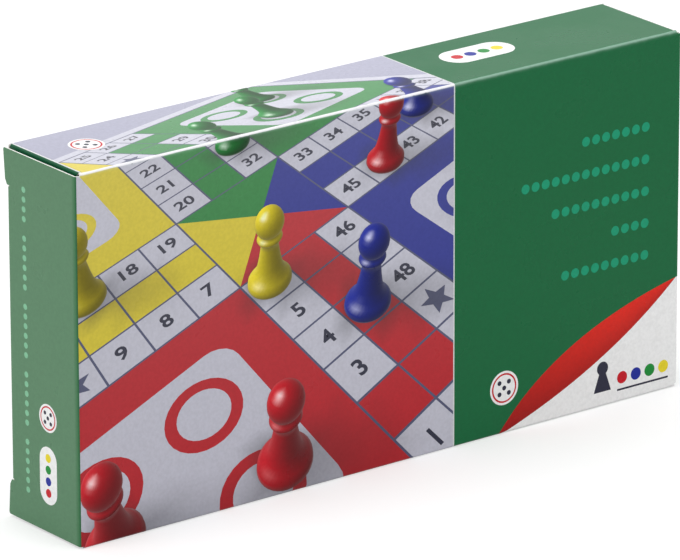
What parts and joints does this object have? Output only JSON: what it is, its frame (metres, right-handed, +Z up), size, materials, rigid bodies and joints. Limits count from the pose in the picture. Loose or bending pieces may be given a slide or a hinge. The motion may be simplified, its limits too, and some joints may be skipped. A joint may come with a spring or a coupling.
{
  "type": "boxed folding ludo set",
  "caption": "Printed tuck-end cardboard carton with hinged end closures, holding a folding magnetic ludo board case, counters, a die and a leaflet.",
  "frame": {"origin": "centre of the underside of the carton's bottom panel", "axes": "+X along the carton's length, -Y out of the picture side, +Z up"},
  "size_m": [0.25, 0.0396, 0.127],
  "materials": {
    "printed_board": "glossy laminated print, green",
    "plain_board": "uncoated grey-white board",
    "case_plastic": "fine matt moulded black",
    "printed_steel": "satin lithographed sheet",
    "pin_steel": "bright drawn wire",
    "magnet_metal": "nickel plated",
    "counter_red": "glossy",
    "counter_blue": "glossy",
    "counter_green": "glossy",
    "counter_yellow": "glossy",
    "die_plastic": "glossy ivory",
    "leaflet_paper": "matt"
  },
  "bodies": {
    "carton": {"front_panel": "printed_board", "back_panel": "printed_board", "top_panel": "printed_board", "bottom_panel": "printed_board", "glue_flap": "plain_board", "case_front_half": "case_plastic", "case_back_half": "case_plastic", "playing_face_front": "printed_steel", "playing_face_back": "printed_steel", "hinge_pin_left": "pin_steel", "hinge_pin_right": "pin_steel", "counter_red_1": "counter_red", "counter_red_2": "counter_red", "counter_red_3": "counter_red", "counter_red_4": "counter_red", "counter_blue_1": "counter_blue", "counter_blue_2": "counter_blue", "counter_blue_3": "counter_blue", "counter_blue_4": "counter_blue", "counter_green_1": "counter_green", "counter_green_2": "counter_green", "counter_green_3": "counter_green", "counter_green_4": "counter_green", "counter_yellow_1": "counter_yellow", "counter_yellow_2": "counter_yellow", "counter_yellow_3": "counter_yellow", "counter_yellow_4": "counter_yellow", "magnet_red_1": "magnet_metal", "magnet_red_2": "magnet_metal", "magnet_red_3": "magnet_metal", "magnet_red_4": "magnet_metal", "magnet_blue_1": "magnet_metal", "magnet_blue_2": "magnet_metal", "magnet_blue_3": "magnet_metal", "magnet_blue_4": "magnet_metal", "magnet_green_1": "magnet_metal", "magnet_green_2": "magnet_metal", "magnet_green_3": "magnet_metal", "magnet_green_4": "magnet_metal", "magnet_yellow_1": "magnet_metal", "magnet_yellow_2": "magnet_metal", "magnet_yellow_3": "magnet_metal", "magnet_yellow_4": "magnet_metal", "die": "die_plastic", "rules_leaflet": "leaflet_paper"},
    "left_closure": {"left_closure": "printed_board"},
    "left_tuck_flap": {"left_tuck_flap": "printed_board"},
    "left_dust_flap_top": {"left_dust_flap_top": "printed_board"},
    "left_dust_flap_bottom": {"left_dust_flap_bottom": "printed_board"},
    "right_closure": {"right_closure": "printed_board"},
    "right_tuck_flap": {"right_tuck_flap": "printed_board"},
    "right_dust_flap_top": {"right_dust_flap_top": "printed_board"},
    "right_dust_flap_bottom": {"right_dust_flap_bottom": "printed_board"}
  },
  "joints": [
    {"name": "left_closure_hinge", "type": "hinge", "parent": "carton", "child": "left_closure", "pos_m": [-0.125, -0.01975, 0.0635], "axis": [0, 0, 1], "range_deg": [0, 180]},
    {"name": "left_tuck_crease", "type": "hinge", "parent": "left_closure", "child": "left_tuck_flap", "pos_m": [-0.1245, 0.01745, 0.0635], "axis": [0, 0, -1], "range_deg": [0, 36]},
    {"name": "left_dust_crease_top", "type": "hinge", "parent": "carton", "child": "left_dust_flap_top", "pos_m": [-0.1229, 0, 0.127], "axis": [0, 1, 0], "range_deg": [0, 90]},
    {"name": "left_dust_crease_bottom", "type": "hinge", "parent": "carton", "child": "left_dust_flap_bottom", "pos_m": [-0.1229, 0, 0], "axis": [0, -1, 0], "range_deg": [0, 90]},
    {"name": "right_closure_hinge", "type": "hinge", "parent": "carton", "child": "right_closure", "pos_m": [0.125, -0.01975, 0.0635], "axis": [0, 0, -1], "range_deg": [0, 180]},
    {"name": "right_tuck_crease", "type": "hinge", "parent": "right_closure", "child": "right_tuck_flap", "pos_m": [0.1245, 0.01745, 0.0635], "axis": [0, 0, 1], "range_deg": [0, 36]},
    {"name": "right_dust_crease_top", "type": "hinge", "parent": "carton", "child": "right_dust_flap_top", "pos_m": [0.1229, 0, 0.127], "axis": [0, -1, 0], "range_deg": [0, 90]},
    {"name": "right_dust_crease_bottom", "type": "hinge", "parent": "carton", "child": "right_dust_flap_bottom", "pos_m": [0.1229, 0, 0], "axis": [0, 1, 0], "range_deg": [0, 90]}
  ],
  "couplings": [
    {"joint": "left_tuck_crease", "follows": "left_closure_hinge", "ratio": 0.2},
    {"joint": "left_dust_crease_top", "follows": "left_closure_hinge", "ratio": 0.5},
    {"joint": "left_dust_crease_bottom", "follows": "left_closure_hinge", "ratio": 0.5},
    {"joint": "right_tuck_crease", "follows": "right_closure_hinge", "ratio": 0.2},
    {"joint": "right_dust_crease_top", "follows": "right_closure_hinge", "ratio": 0.5},
    {"joint": "right_dust_crease_bottom", "follows": "right_closure_hinge", "ratio": 0.5}
  ]
}
